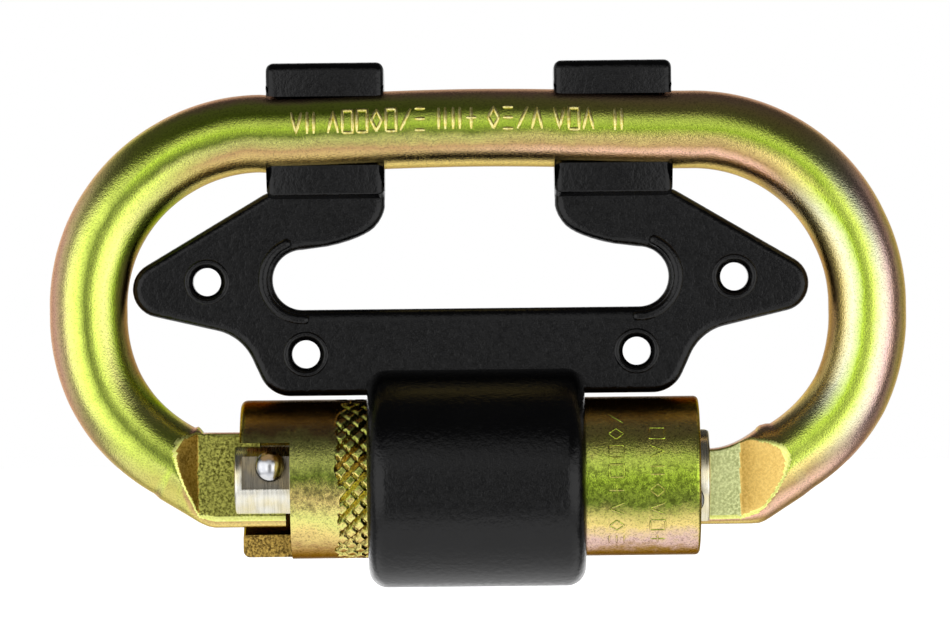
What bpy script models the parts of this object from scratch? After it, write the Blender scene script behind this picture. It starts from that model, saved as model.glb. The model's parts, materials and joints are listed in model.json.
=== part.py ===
"""Steel oval carabiner with a twist-lock gate, held in a moulded bracket.

The frame stands in the XZ plane: spine on top, gate below, nose at -X, hinge at +X. The gate
swings inwards about hinge_pin, lock_sleeve and bracket turn about the gate's long axis, and
the bracket's collar surrounds the sleeve while its two clips hold the spine from behind (+Y).
Everything is drawn from the middle of the oval, and the root empty lifts it so that the
world's origin is the middle of the whole object.
"""

import math

import bmesh
import bpy
import numpy as np
from mathutils import Matrix, Vector

MM = 0.001
FIT = 0.1 * MM  # clearance of pins in their holes
RUNNING = 0.3 * MM  # clearance of pieces that slide or turn on each other
COVER = 0.05 * MM  # how far a tongue stands proud of the flat that it is welded over
ROOT_LIFT = 1.8 * MM

# Frame: a round bar bent to an oval
BAR_R = 5.0 * MM
BOW_R = 22.1 * MM
BOW_X = 27.7 * MM
UPPER_BOW_Z = 0.8 * MM
LOWER_BOW_Z = -0.64 * MM
SPINE_CROWN = 0.5 * MM
BAR_NOSE_X = -30.5 * MM
BAR_HINGE_X = 31.0 * MM
TONGUE_T = 5.0 * MM
NOSE_FLAT_X = -36.0 * MM
NOSE_FACET = 2.7 * MM
NOSE_TOP_Z = -15.4 * MM
NOSE_BOTTOM_Z = -27.6 * MM
NOSE_TIP_X = -24.9 * MM
NOSE_EDGE = 1.2 * MM
HINGE_FLAT_X = 33.3 * MM
HINGE_FACET = 6.6 * MM
HINGE_TOP_Z = -18.1 * MM
HINGE_BOTTOM_Z = -27.3 * MM
HINGE_HEEL_Z = -27.8 * MM
HINGE_HOLLOW_X = 29.4 * MM
HINGE_HOLLOW_RISE = 2.7 * MM
HINGE_HOLLOW_RUN = 6.4 * MM
# How far each bow stands out from its circle, as (degrees above level, mm)
HINGE_SPREAD = ((24, 0.0), (0, 0.2), (-12, 0.3), (-28, 0.5), (-42, 0.36), (-54, 0.25), (-82, 0.0))
NOSE_SPREAD = ((60, 0.05), (24, 0.2), (0, 0.2), (-24, 0.12), (-36, 0.0), (-48, -0.2), (-60, -0.35))

# Gate and its hinge
GATE_Z = -21.5 * MM
PIVOT_X = 26.5 * MM
PIVOT_Z = -24.5 * MM
HINGE_PIN_R = 2.0 * MM
HINGE_PIN_HALF = 5.5 * MM
TONGUE_END_X = PIVOT_X - 3.5 * MM
GATE_NOSE_X = -31.4 * MM
GATE_END_X = 29.4 * MM
GATE_R = 5.05 * MM
FLANGE_R = 6.4 * MM
FLANGE_X = 9.5 * MM
SLOT_HALF = TONGUE_T / 2 + 0.15 * MM
NOSE_SLOT_X = -24.3 * MM
HINGE_SLOT_X = 18.9 * MM
EAR_FACE_Y = -4.0 * MM
EAR_LEDGE = -1.1 * MM

# Latch pin across the nose fork
LATCH_X = -26.8 * MM
LATCH_Z = GATE_Z + 1.8 * MM
LATCH_R = 1.0 * MM
LATCH_HEAD_R = 1.8 * MM
LATCH_BACK_Y = 4.5 * MM

# Plunger and its spring
PLUNGER_R = 1.9 * MM
PLUNGER_BACK_X = 13.0 * MM
BORE_R = PLUNGER_R + 0.2 * MM
BORE_END_X = 3.0 * MM
GATE_WIRE_R = 0.3 * MM
GATE_COIL_R = 1.45 * MM
GATE_TURNS = 7

# Lock sleeve
SLEEVE_NOSE_X = -30.5 * MM
SLEEVE_END_X = 28.1 * MM
SLEEVE_R = 10.2 * MM
SLEEVE_EDGE = 0.9 * MM
SLEEVE_MOUTH_R = 7.4 * MM
SLEEVE_MOUTH_X = -21.5 * MM
SLEEVE_POCKET_R = 7.5 * MM
SLEEVE_POCKET_X = -9.5 * MM
NOTCH_X = -24.1 * MM
NOTCH_TOP = math.radians(31)
NOTCH_BACK_Y = 1.8 * MM
STOP_X = -14.0 * MM
STOP_R = 0.9 * MM
STOP_TIP_R = 6.3 * MM
STOP_ROOT_R = 2.5 * MM
STOP_TRACK_R = STOP_TIP_R + RUNNING
STOP_TRACK_FROM = -13  # degrees from +Y towards +Z
STOP_TRACK_TO = 103
RING_FROM_X = 17.5 * MM
RING_TO_X = 21.5 * MM
TWIST_WIRE_R = 0.5 * MM
TWIST_COIL_R = 6.3 * MM
TWIST_TURNS = 8

# Bracket
BRACKET_X = -0.9 * MM
PLATE_T = 3.5 * MM
COLLAR_FROM_X = -14.3 * MM
COLLAR_TO_X = 13.5 * MM
COLLAR_R = 14.0 * MM
COLLAR_BORE_R = SLEEVE_R + 0.4 * MM
COLLAR_EDGE = 2.2 * MM
PLATE_BOTTOM_Z = GATE_Z + COLLAR_BORE_R + 0.1 * MM
CLIP_NEAR = 10.9 * MM
CLIP_FAR = 26.0 * MM
CLIP_TOP_Z = 31.9 * MM
CLIP_ROOF_Z = 28.5 * MM
CLIP_SILL_Z = 17.25 * MM
CLIP_FLOOR_Y = BAR_R + 0.35 * MM
CLIP_BACK_Y = 8.0 * MM
ROOF_LIP_Y = -2.4 * MM
SILL_LIP_Y = -2.7 * MM
NECK_Z = 14.7 * MM
SLOT_BOTTOM_Z = 0.25 * MM
SLOT_TOP_Z = 7.95 * MM
SLOT_LENGTH_HALF = 25.4 * MM
HOLE_R = 1.8 * MM
UPPER_HOLE = (33.8 * MM, 3.95 * MM)
LOWER_HOLE = (21.2 * MM, -5.45 * MM)

ROUND = 64  # sides of the large turned pieces
SMALL_ROUND = 24  # sides of pins and bores

# How an outline's own x and y lie in the world, and which way it is thickened
PLANES = {
    "XZ": Matrix.Rotation(math.radians(90), 4, "X"),
    "YZ": Matrix.Rotation(math.radians(90), 4, "Z") @ Matrix.Rotation(math.radians(90), 4, "X"),
    "XY": Matrix.Identity(4),
}
TURNED_ALONG_X = (0, math.radians(90), 0)
TURNED_ALONG_Y = (math.radians(-90), 0, 0)


def clear_scene():
    for obj in list(bpy.data.objects):
        bpy.data.objects.remove(obj, do_unlink=True)


def new_collection(name):
    collection = bpy.data.collections.new(name)
    bpy.context.scene.collection.children.link(collection)
    return collection


def new_empty(name, location, parent=None):
    empty = bpy.data.objects.new(name, None)
    empty.location = location
    empty.parent = parent
    PARTS.objects.link(empty)
    return empty


def material(name, colour, roughness, metallic):
    result = bpy.data.materials.new(name)
    result.use_nodes = True
    shader = result.node_tree.nodes["Principled BSDF"]
    shader.inputs["Base Color"].default_value = (*colour, 1)
    shader.inputs["Roughness"].default_value = roughness
    shader.inputs["Metallic"].default_value = metallic
    return result


def link(obj):
    PARTS.objects.link(obj)
    obj.parent = ROOT
    return obj


def as_mesh(obj):
    """The curve or modified object as a plain mesh object of the same name and place."""
    bpy.context.view_layer.update()
    graph = bpy.context.evaluated_depsgraph_get()
    mesh = bpy.data.meshes.new_from_object(obj.evaluated_get(graph))
    bm = bmesh.new()
    bm.from_mesh(mesh)
    bmesh.ops.remove_doubles(bm, verts=bm.verts, dist=1e-6)
    bmesh.ops.recalc_face_normals(bm, faces=bm.faces)
    bm.to_mesh(mesh)
    bm.free()
    name = obj.name
    place = obj.matrix_local.copy()
    bpy.data.objects.remove(obj, do_unlink=True)
    result = link(bpy.data.objects.new(name, mesh))
    result.matrix_local = place
    return result


def turned(name, profile, steps, rotation, location, closed=False):
    """The profile of (radius, height) points turned round the line of its heights."""
    mesh = bpy.data.meshes.new(name)
    edges = [(i, i + 1) for i in range(len(profile) - 1)]
    if closed:
        edges.append((len(profile) - 1, 0))
    mesh.from_pydata([(radius, 0, height) for radius, height in profile], edges, [])
    obj = link(bpy.data.objects.new(name, mesh))
    screw = obj.modifiers.new("turn", "SCREW")
    screw.steps = steps
    screw.render_steps = steps
    screw.use_merge_vertices = True
    screw.merge_threshold = 1e-6
    obj.rotation_euler = rotation
    obj.location = location
    return obj


def rod(name, radius, low, high, rotation, location, steps=SMALL_ROUND):
    profile = [(0, high), (radius, high), (radius, low), (0, low)]
    return turned(name, profile, steps, rotation, location)


def slab(name, outline, depth, plane, offset=0.0):
    """The outline made depth thick, its middle plane at offset along the plane's normal."""
    curve = bpy.data.curves.new(name, "CURVE")
    curve.dimensions = "2D"
    curve.fill_mode = "BOTH"
    curve.extrude = depth / 2
    spline = curve.splines.new("POLY")
    spline.points.add(len(outline) - 1)
    for point, (x, y) in zip(spline.points, outline):
        point.co = (x, y, 0, 1)
    spline.use_cyclic_u = True
    obj = link(bpy.data.objects.new(name, curve))
    obj.matrix_local = PLANES[plane] @ Matrix.Translation((0, 0, offset))
    return as_mesh(obj)


def box(name, low, high):
    """A box between two corners."""
    middle = (Vector(low) + Vector(high)) / 2
    size = Vector(high) - Vector(low)
    mesh = bpy.data.meshes.new(name)
    bm = bmesh.new()
    bmesh.ops.create_cube(bm, size=1)
    bmesh.ops.scale(bm, vec=size, verts=bm.verts)
    bm.to_mesh(mesh)
    bm.free()
    obj = link(bpy.data.objects.new(name, mesh))
    obj.location = middle
    return obj


def wire(name, points, radius, sides_step):
    """A round bar along the points, with closed ends."""
    curve = bpy.data.curves.new(name, "CURVE")
    curve.dimensions = "3D"
    curve.bevel_depth = radius
    curve.bevel_resolution = sides_step
    curve.use_fill_caps = True
    spline = curve.splines.new("POLY")
    spline.points.add(len(points) - 1)
    for point, place in zip(spline.points, points):
        point.co = (*place, 1)
    return link(bpy.data.objects.new(name, curve))


def helix(radius, start, end, turns, per_turn=12):
    """Points of a coil round the X axis."""
    count = int(turns * per_turn)
    points = []
    for i in range(count + 1):
        angle = 2 * math.pi * i / per_turn
        x = start + (end - start) * i / count
        points.append((x, radius * math.cos(angle), radius * math.sin(angle)))
    return points


def arc(centre, radius, start, end, steps):
    """Points on a circle between two angles in degrees, both ends included."""
    points = []
    for i in range(steps + 1):
        angle = math.radians(start + (end - start) * i / steps)
        points.append((centre[0] + radius * math.cos(angle), centre[1] + radius * math.sin(angle)))
    return points


def rounded(corners, steps=5):
    """The outline through corners of (x, y, radius), each corner turned into an arc."""
    points = []
    for i, (x, y, radius) in enumerate(corners):
        corner = Vector((x, y))
        if not radius:
            points.append(corner)
            continue
        before = (Vector(corners[i - 1][:2]) - corner).normalized()
        after = (Vector(corners[(i + 1) % len(corners)][:2]) - corner).normalized()
        half = before.angle(after) / 2
        centre = corner + (before + after).normalized() * radius / math.sin(half)
        first = corner + before * radius / math.tan(half) - centre
        last = corner + after * radius / math.tan(half) - centre
        start = math.atan2(first.y, first.x)
        sweep = (math.atan2(last.y, last.x) - start + math.pi) % (2 * math.pi) - math.pi
        for k in range(steps + 1):
            angle = start + sweep * k / steps
            points.append(centre + radius * Vector((math.cos(angle), math.sin(angle))))
    return [tuple(point) for point in points]


def use(operation, target, *tools):
    """Cuts the tools from the target, or joins them to it, and keeps them as hidden helpers."""
    for tool in tools:
        modifier = target.modifiers.new(tool.name, "BOOLEAN")
        modifier.operation = operation
        modifier.object = tool
        PARTS.objects.unlink(tool)
        CUTTERS.objects.link(tool)
        tool.hide_render = True
        tool.display_type = "WIRE"


def cut(target, *tools):
    use("DIFFERENCE", target, *tools)


def join(target, *tools):
    use("UNION", target, *tools)


def finish(obj, finish_material, origin=None, parent=None):
    """Gives the piece its material, its origin on its joint's axis, and its parent."""
    if origin:
        bpy.context.view_layer.update()
        shift = obj.matrix_local.inverted() @ Vector(origin)
        obj.data.transform(Matrix.Translation(-shift))
        obj.location = origin
    if parent:
        obj.parent = parent
        obj.location = obj.location - parent.location
    obj.data.materials.clear()
    obj.data.materials.append(finish_material)
    if obj.type == "MESH":
        obj.data.shade_smooth()
        obj.data.set_sharp_from_angle(angle=math.radians(30))


def bow(centre_x, centre_z, spread, start, end, steps):
    """Part of a bow's centre line, from the start angle to the end angle above level."""
    angles, amounts = zip(*reversed(spread))
    points = []
    for angle in np.linspace(start, end, steps + 1):
        radius = BOW_R + float(np.interp(angle, angles, amounts)) * MM
        across = math.copysign(radius * math.cos(math.radians(angle)), centre_x)
        points.append((centre_x + across, centre_z + radius * math.sin(math.radians(angle))))
    return points


def bar_centreline():
    """Nose to hinge: left bow upwards, the slightly crowned spine, right bow downwards."""
    nose_angle = -math.degrees(math.acos((-BAR_NOSE_X - BOW_X) / BOW_R))
    hinge_angle = -math.degrees(math.acos((BAR_HINGE_X - BOW_X) / BOW_R))
    points = bow(-BOW_X, LOWER_BOW_Z, NOSE_SPREAD, nose_angle, 0, 11)
    points += bow(-BOW_X, UPPER_BOW_Z, NOSE_SPREAD, 0, 90, 12)
    for i in range(1, 10):
        x = BOW_X * (i / 5 - 1)
        crown = SPINE_CROWN * (1 + math.cos(math.pi * x / BOW_X)) / 2
        points.append((x, UPPER_BOW_Z + BOW_R + crown))
    points += bow(BOW_X, UPPER_BOW_Z, HINGE_SPREAD, 90, 0, 12)
    points += bow(BOW_X, LOWER_BOW_Z, HINGE_SPREAD, 0, hinge_angle, 11)
    return [(x, 0, z) for x, z in points]


def hollow_z(x):
    """Height of the hinge tongue's inner edge, which hollows up to the bow."""
    return HINGE_TOP_Z + HINGE_HOLLOW_RISE * ((x - HINGE_HOLLOW_X) / HINGE_HOLLOW_RUN) ** 2


def nose_tongue():
    """The hook: an upward open notch that the latch pin drops into, with a claw at its tip."""
    notch_r = LATCH_R + RUNNING
    outline = [(-38.4 * MM, -20.0 * MM), (-37.3 * MM, -15.7 * MM), (-36.4 * MM, -15.1 * MM)]
    outline += [(-35.6 * MM, NOSE_TOP_Z), (-28.9 * MM, NOSE_TOP_Z)]
    outline += [(LATCH_X - notch_r, NOSE_TOP_Z - 0.8 * MM)]
    outline += arc((LATCH_X, LATCH_Z), notch_r, 180, 360, 8)
    outline += [(LATCH_X + notch_r + 0.1 * MM, LATCH_Z + 0.3 * MM)]
    outline += [(NOSE_TIP_X, LATCH_Z + 0.1 * MM), (NOSE_TIP_X, NOSE_BOTTOM_Z + 1.2 * MM)]
    outline += [(NOSE_TIP_X - 1.2 * MM, NOSE_BOTTOM_Z)]
    outline += [(-34.0 * MM, NOSE_BOTTOM_Z), (-35.3 * MM, -27.25 * MM)]
    outline += [(-36.6 * MM, -26.5 * MM), (-38.2 * MM, -25.0 * MM)]
    return slab("nose_tongue", outline, TONGUE_T, "XZ")


def hinge_tongue():
    """The tongue that the gate's hinge fork straddles, with a flat end for the plunger."""
    outline = [(TONGUE_END_X, -25.5 * MM), (TONGUE_END_X + 0.6 * MM, -26.6 * MM)]
    outline += [(TONGUE_END_X + 1.8 * MM, HINGE_BOTTOM_Z), (28.0 * MM, HINGE_HEEL_Z)]
    outline += [(35.7 * MM, HINGE_HEEL_Z), (36.5 * MM, -27.5 * MM), (39.0 * MM, -25.95 * MM)]
    outline += [(41.4 * MM, -24.2 * MM), (43.0 * MM, -22.4 * MM), (40.0 * MM, -20.0 * MM)]
    outline += [(37.0 * MM, -15.9 * MM)]
    for step in range(6, -1, -1):
        x = HINGE_HOLLOW_X + HINGE_HOLLOW_RUN * step / 6
        outline.append((x, hollow_z(x)))
    outline += [(TONGUE_END_X + 0.6 * MM, -17.9 * MM), (TONGUE_END_X, -18.5 * MM)]
    return slab("hinge_tongue", outline, TONGUE_T, "XZ")


def flat_cutter(name, flat_x, facet, side):
    """Takes the bar's round side down to the tongue's flat, ending in a sloping facet."""
    flat_y = TONGUE_T / 2 - COVER
    reach = BAR_R + RUNNING - flat_y
    direction = math.copysign(1, flat_x)
    slope = facet / (BAR_R - TONGUE_T / 2)
    outline = [(flat_x, side * flat_y)]
    outline += [(flat_x + direction * reach * slope, side * (flat_y + reach))]
    outline += [(flat_x + direction * reach * slope, side * 8 * MM)]
    outline += [(flat_x - direction * 12 * MM, side * 8 * MM)]
    outline += [(flat_x - direction * 12 * MM, side * flat_y)]
    return slab(name, outline, 30 * MM, "XY", -22 * MM)


def hollow_cutter():
    """Takes the bar down to the line of the hinge tongue's hollow."""
    outline = [(22 * MM, -10 * MM), (22 * MM, HINGE_TOP_Z - COVER)]
    for step in range(7):
        x = HINGE_HOLLOW_X + HINGE_HOLLOW_RUN * step / 6
        outline.append((x, hollow_z(x) - COVER))
    outline += [(37 * MM, -13 * MM), (37 * MM, -10 * MM)]
    return slab("hollow_cutter", outline, 14 * MM, "XZ")


def nose_edge_cutter(name, side):
    """Breaks a lower edge of the nose tongue, so that it clears the sleeve as the gate opens."""
    y = side * TONGUE_T / 2
    outline = [(y + side * MM, NOSE_BOTTOM_Z - MM), (y + side * MM, NOSE_BOTTOM_Z + NOSE_EDGE)]
    outline += [(y, NOSE_BOTTOM_Z + NOSE_EDGE), (y - side * NOSE_EDGE, NOSE_BOTTOM_Z)]
    outline += [(y - side * NOSE_EDGE, NOSE_BOTTOM_Z - MM)]
    return slab(name, outline, 11 * MM, "YZ", -28.5 * MM)


def make_frame():
    frame = as_mesh(wire("frame", bar_centreline(), BAR_R, 8))
    for side in (-1, 1):
        cut(frame, flat_cutter(f"nose_flat_{side}", NOSE_FLAT_X, NOSE_FACET, side))
        cut(frame, flat_cutter(f"hinge_flat_{side}", HINGE_FLAT_X, HINGE_FACET, side))
    cut(frame, hollow_cutter())
    join(frame, nose_tongue(), hinge_tongue())
    for side in (-1, 1):
        cut(frame, nose_edge_cutter(f"nose_edge_{side}", side))
    place = (PIVOT_X, 0, PIVOT_Z)
    hole = HINGE_PIN_R + FIT
    cut(frame, rod("tongue_hole", hole, -4 * MM, 4 * MM, TURNED_ALONG_Y, place))
    finish(frame, ZINC)


def make_gate():
    axis = (0, 0, GATE_Z)
    profile = [(0, GATE_END_X), (FLANGE_R - 0.4 * MM, GATE_END_X)]
    profile += [(FLANGE_R, GATE_END_X - 0.4 * MM), (FLANGE_R, FLANGE_X), (GATE_R, FLANGE_X)]
    profile += [(GATE_R, GATE_NOSE_X + 0.4 * MM), (GATE_R - 0.4 * MM, GATE_NOSE_X), (0, GATE_NOSE_X)]
    gate = as_mesh(turned("gate_body", profile, 48, TURNED_ALONG_X, axis))
    low, high = GATE_Z - 8 * MM, GATE_Z + 8 * MM
    nose_slot = ((GATE_NOSE_X - MM, -SLOT_HALF, low), (NOSE_SLOT_X, SLOT_HALF, high))
    hinge_slot = ((HINGE_SLOT_X, -SLOT_HALF, low), (GATE_END_X + MM, SLOT_HALF, high))
    ear = ((GATE_NOSE_X - MM, -8 * MM, GATE_Z + EAR_LEDGE), (NOSE_SLOT_X, EAR_FACE_Y, high))
    cut(gate, box("nose_slot", *nose_slot), box("hinge_slot", *hinge_slot), box("ear_face", *ear))
    bore = rod("plunger_bore", BORE_R, BORE_END_X, HINGE_SLOT_X + MM, TURNED_ALONG_X, axis)
    pivot = (PIVOT_X, 0, PIVOT_Z)
    hinge_hole = rod("fork_hole", HINGE_PIN_R + FIT, -8 * MM, 8 * MM, TURNED_ALONG_Y, pivot)
    latch = (LATCH_X, 0, LATCH_Z)
    latch_hole = rod("ear_hole", LATCH_R + FIT, -8 * MM, 8 * MM, TURNED_ALONG_Y, latch)
    stop = (STOP_X, 0, GATE_Z)
    stop_hole = rod("stop_hole", STOP_R + FIT, STOP_ROOT_R - RUNNING, 8 * MM, (0, 0, 0), stop)
    cut(gate, bore, hinge_hole, latch_hole, stop_hole)
    finish(gate, SILVER, pivot, GATE_HINGE)


def make_pins():
    pivot = (PIVOT_X, 0, PIVOT_Z)
    half = HINGE_PIN_HALF
    hinge_pin = rod("hinge_pin", HINGE_PIN_R, -half, half, TURNED_ALONG_Y, pivot)
    finish(hinge_pin, STEEL, parent=GATE_HINGE)

    head_y = EAR_FACE_Y - RUNNING
    head = arc((0, 0), LATCH_HEAD_R, 0, 90, 8)
    profile = [(0, LATCH_BACK_Y), (LATCH_R, LATCH_BACK_Y), (LATCH_R, head_y)]
    profile += [(radius, head_y - rise) for radius, rise in head]
    profile[-1] = (0, head_y - LATCH_HEAD_R)
    place = (LATCH_X, 0, LATCH_Z)
    latch_pin = turned("latch_pin", profile, 32, TURNED_ALONG_Y, place)
    finish(latch_pin, CHROME, parent=GATE_HINGE)

    stop = (STOP_X, 0, GATE_Z)
    stop_pin = rod("sleeve_stop_pin", STOP_R, STOP_ROOT_R, STOP_TIP_R, (0, 0, 0), stop, 16)
    finish(stop_pin, STEEL, parent=GATE_HINGE)


def make_plunger():
    tip = TONGUE_END_X - RUNNING
    dome = arc((0, tip - PLUNGER_R), PLUNGER_R, 90, 0, 6)
    profile = [(0, tip)] + dome[1:] + [(PLUNGER_R, PLUNGER_BACK_X), (0, PLUNGER_BACK_X)]
    plunger = turned("gate_plunger", profile, SMALL_ROUND, TURNED_ALONG_X, (0, 0, GATE_Z))
    finish(plunger, STEEL, parent=GATE_HINGE)


def make_springs():
    gap = GATE_WIRE_R + RUNNING
    ends = BORE_END_X + gap, PLUNGER_BACK_X - gap
    gate_spring = wire("gate_spring", helix(GATE_COIL_R, *ends, GATE_TURNS), GATE_WIRE_R, 2)
    gate_spring.location = (0, 0, GATE_Z)
    finish(gate_spring, SPRING, parent=GATE_HINGE)

    gap = TWIST_WIRE_R + RUNNING
    ends = SLEEVE_POCKET_X + gap, FLANGE_X - gap
    twist = wire("sleeve_spring", helix(TWIST_COIL_R, *ends, TWIST_TURNS, 16), TWIST_WIRE_R, 2)
    twist.location = (0, 0, GATE_Z)
    finish(twist, SPRING, parent=GATE_HINGE)


def make_sleeve():
    edge = SLEEVE_EDGE
    bore = GATE_R + RUNNING
    profile = [(SLEEVE_POCKET_R, SLEEVE_END_X), (SLEEVE_R - edge, SLEEVE_END_X)]
    profile += [(SLEEVE_R, SLEEVE_END_X - edge), (SLEEVE_R, SLEEVE_NOSE_X + edge)]
    profile += [(SLEEVE_R - edge, SLEEVE_NOSE_X), (SLEEVE_MOUTH_R, SLEEVE_NOSE_X)]
    profile += [(SLEEVE_MOUTH_R, SLEEVE_MOUTH_X), (bore, SLEEVE_MOUTH_X)]
    profile += [(bore, SLEEVE_POCKET_X), (SLEEVE_POCKET_R, SLEEVE_POCKET_X)]
    axis = (0, 0, GATE_Z)
    sleeve = as_mesh(turned("lock_sleeve", profile, ROUND, TURNED_ALONG_X, axis, closed=True))

    far = 18 * MM
    notch = [(0, GATE_Z), (-far * math.cos(NOTCH_TOP), GATE_Z + far * math.sin(NOTCH_TOP))]
    notch += [(-far, GATE_Z - far), (NOTCH_BACK_Y, GATE_Z - far), (NOTCH_BACK_Y, GATE_Z)]
    length = NOTCH_X - SLEEVE_NOSE_X + MM
    cut(sleeve, slab("sleeve_notch", notch, length, "YZ", NOTCH_X - length / 2))

    track = arc((0, GATE_Z), STOP_TRACK_R, STOP_TRACK_FROM, STOP_TRACK_TO, 12)
    track.append((0, GATE_Z))
    width = 2 * (STOP_R + RUNNING)
    cut(sleeve, slab("stop_track", track, width, "YZ", STOP_X))
    finish(sleeve, ZINC, parent=GATE_HINGE)

    outer, inner = SLEEVE_POCKET_R - FIT, FLANGE_R + 0.2 * MM
    profile = [(inner, RING_TO_X), (outer, RING_TO_X), (outer, RING_FROM_X), (inner, RING_FROM_X)]
    ring = turned("sleeve_end_ring", profile, ROUND, TURNED_ALONG_X, axis, closed=True)
    finish(ring, STEEL, parent=GATE_HINGE)


def plate_outline():
    """Half of the plate goes round from the slot's middle, and its mirror image closes it."""
    slot_r = (SLOT_TOP_Z - SLOT_BOTTOM_Z) / 2
    slot_end = SLOT_LENGTH_HALF - slot_r
    near, far = CLIP_NEAR + COVER, CLIP_FAR - COVER
    half = [(near, NECK_Z), (near, 13.2 * MM), (11.3 * MM, 12.1 * MM)]
    half += [(12.3 * MM, 10.7 * MM), (13.6 * MM, 9.85 * MM), (15.6 * MM, 9.05 * MM)]
    half += [(18.4 * MM, 8.35 * MM)]
    half += arc((slot_end, SLOT_BOTTOM_Z + slot_r), slot_r, 90, -90, 10)
    half = half[::-1]
    outer = [(far, NECK_Z, 0), (far, 15.3 * MM, 0), (far + 0.6 * MM, 15.0 * MM, 0)]
    outer += [(49.33 * MM, 1.58 * MM, 3.6 * MM), (29.45 * MM, -3.05 * MM, 4.0 * MM)]
    outer += [(25.9 * MM, PLATE_BOTTOM_Z, 2.8 * MM)]
    ring = rounded([(0, NECK_Z, 0)] + outer + [(0, PLATE_BOTTOM_Z, 0)])
    right = half + ring[1:-1]
    left = [(-x, z) for x, z in reversed(right)]
    return [(x + BRACKET_X, z) for x, z in right + left]


def clip_profile():
    """Section of a clip across the spine: roof, back wall, sill, and the neck down to the plate."""
    half = PLATE_T / 2 + COVER
    corners = [(ROOF_LIP_Y, CLIP_TOP_Z, 1.2 * MM), (CLIP_BACK_Y, CLIP_TOP_Z, 2.0 * MM)]
    corners += [(CLIP_BACK_Y, 15.5 * MM, 2.0 * MM), (half, 11.0 * MM, 0), (-half, 11.0 * MM, 0)]
    corners += [(-half, NECK_Z - 0.4 * MM, 0), (SILL_LIP_Y, NECK_Z + 0.4 * MM, 0)]
    corners += [(SILL_LIP_Y, CLIP_SILL_Z, 0), (CLIP_FLOOR_Y, CLIP_SILL_Z, 1.5 * MM)]
    corners += [(CLIP_FLOOR_Y, CLIP_ROOF_Z, 1.5 * MM), (ROOF_LIP_Y, CLIP_ROOF_Z, 0)]
    return rounded(corners, 3)


def make_bracket():
    bracket = slab("bracket", plate_outline(), PLATE_T, "XZ")
    width = CLIP_FAR - CLIP_NEAR
    for side in (-1, 1):
        middle = BRACKET_X + side * (CLIP_NEAR + width / 2)
        join(bracket, slab(f"clip_{side}", clip_profile(), width, "YZ", middle))
    edge = COLLAR_EDGE
    profile = [(0, COLLAR_TO_X)]
    profile += [(r, x) for x, r in arc((COLLAR_TO_X - edge, COLLAR_R - edge), edge, 0, 90, 5)]
    profile += [(r, x) for x, r in arc((COLLAR_FROM_X + edge, COLLAR_R - edge), edge, 90, 180, 5)]
    profile += [(0, COLLAR_FROM_X)]
    axis = (0, 0, GATE_Z)
    join(bracket, as_mesh(turned("collar", profile, ROUND, TURNED_ALONG_X, axis)))
    ends = COLLAR_FROM_X - MM, COLLAR_TO_X + MM
    cut(bracket, rod("collar_bore", COLLAR_BORE_R, *ends, TURNED_ALONG_X, axis, ROUND))
    for side in (-1, 1):
        for label, (x, z) in (("upper", UPPER_HOLE), ("lower", LOWER_HOLE)):
            place = (BRACKET_X + side * x, 0, z)
            name = f"{label}_hole_{side}"
            cut(bracket, rod(name, HOLE_R, -4 * MM, 4 * MM, TURNED_ALONG_Y, place))
    finish(bracket, PLASTIC, axis, GATE_HINGE)


clear_scene()
PARTS = new_collection("locking_carabiner")
CUTTERS = new_collection("cutters")
ROOT = new_empty("carabiner_middle", (0, 0, ROOT_LIFT))
GATE_HINGE = new_empty("gate_hinge", (PIVOT_X, 0, PIVOT_Z), ROOT)
ZINC = material("yellow_zinc", (0.55, 0.45, 0.16), 0.32, 1.0)
SILVER = material("gate_silver", (0.72, 0.70, 0.62), 0.28, 1.0)
CHROME = material("pin_chrome", (0.85, 0.85, 0.85), 0.10, 1.0)
STEEL = material("bright_steel", (0.60, 0.60, 0.60), 0.30, 1.0)
SPRING = material("spring_steel", (0.45, 0.45, 0.47), 0.35, 1.0)
PLASTIC = material("black_plastic", (0.02, 0.02, 0.022), 0.45, 0.0)
make_frame()
make_gate()
make_pins()
make_plunger()
make_springs()
make_sleeve()
make_bracket()
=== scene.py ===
"""Looks of the oval locking carabiner in its moulded bracket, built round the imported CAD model."""
import itertools
import json
import math

import bmesh
import bpy
import numpy as np
from mathutils import Matrix, Vector


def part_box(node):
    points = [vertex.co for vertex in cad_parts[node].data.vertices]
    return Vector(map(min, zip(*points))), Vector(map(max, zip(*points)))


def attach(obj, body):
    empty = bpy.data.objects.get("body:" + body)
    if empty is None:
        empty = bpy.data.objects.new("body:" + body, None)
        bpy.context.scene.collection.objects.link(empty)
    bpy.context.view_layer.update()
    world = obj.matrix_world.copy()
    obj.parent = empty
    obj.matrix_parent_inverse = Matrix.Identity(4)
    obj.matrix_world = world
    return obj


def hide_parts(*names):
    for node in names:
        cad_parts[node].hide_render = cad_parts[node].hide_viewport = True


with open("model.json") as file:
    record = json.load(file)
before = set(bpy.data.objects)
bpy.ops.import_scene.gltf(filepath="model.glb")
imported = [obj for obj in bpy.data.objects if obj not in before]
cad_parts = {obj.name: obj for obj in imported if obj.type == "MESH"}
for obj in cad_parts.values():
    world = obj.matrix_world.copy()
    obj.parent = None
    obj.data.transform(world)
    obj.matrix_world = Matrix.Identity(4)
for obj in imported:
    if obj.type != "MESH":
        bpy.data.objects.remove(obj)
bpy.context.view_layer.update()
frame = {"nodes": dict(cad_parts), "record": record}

MM = 0.001
JOINTS = {joint["name"]: joint for joint in frame["record"]["behaviour"]["joints"]}
GATE_Z = JOINTS["sleeve_twist"]["pos_m"][2]
PIVOT_X, _, PIVOT_Z = JOINTS["gate_swing"]["pos_m"]
FRAME_LOW, FRAME_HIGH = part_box("frame")
SLEEVE_LOW, SLEEVE_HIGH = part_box("lock_sleeve")
GATE_LOW, GATE_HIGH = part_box("gate_body")
BRACKET_LOW, BRACKET_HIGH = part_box("bracket")
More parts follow.
